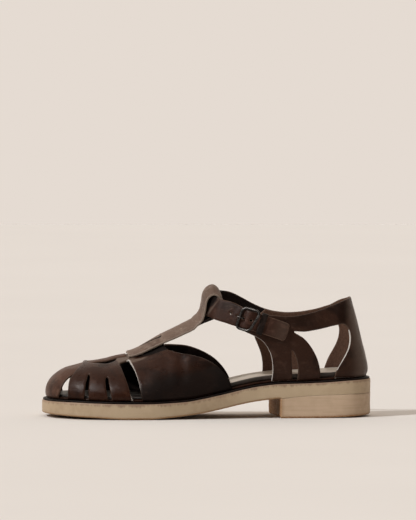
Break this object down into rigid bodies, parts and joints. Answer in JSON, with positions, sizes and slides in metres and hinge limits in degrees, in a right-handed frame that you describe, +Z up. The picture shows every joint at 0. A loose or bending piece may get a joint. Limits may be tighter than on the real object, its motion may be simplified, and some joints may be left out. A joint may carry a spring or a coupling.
{
  "type": "fisherman sandal",
  "caption": "Left leather fisherman sandal: caged closed toe, T-bar, buckled ankle strap, high counter, crepe sole and low block heel",
  "frame": {"origin": "on the floor, under the middle of the bounding box", "axes": "+X from toe to heel, +Y towards the inner (medial) side of the foot, +Z up; the outer side with the buckle faces -Y"},
  "size_m": [0.295, 0.1033, 0.1177],
  "materials": {
    "crepe": "matte, faintly crumbly",
    "leather": "semi-gloss, worn",
    "strap_leather": "semi-gloss, worn",
    "footbed_leather": "satin",
    "gunmetal": "dark, polished at the corners"
  },
  "bodies": {
    "root": {"outsole": "crepe", "heel_block": "crepe", "midsole": "leather", "footbed": "footbed_leather", "upper_front": "leather", "upper_back": "leather", "t_bar": "leather", "ankle_strap": "strap_leather", "keeper": "leather", "buckle_frame": "gunmetal", "buckle_prong": "gunmetal"}
  },
  "joints": []
}
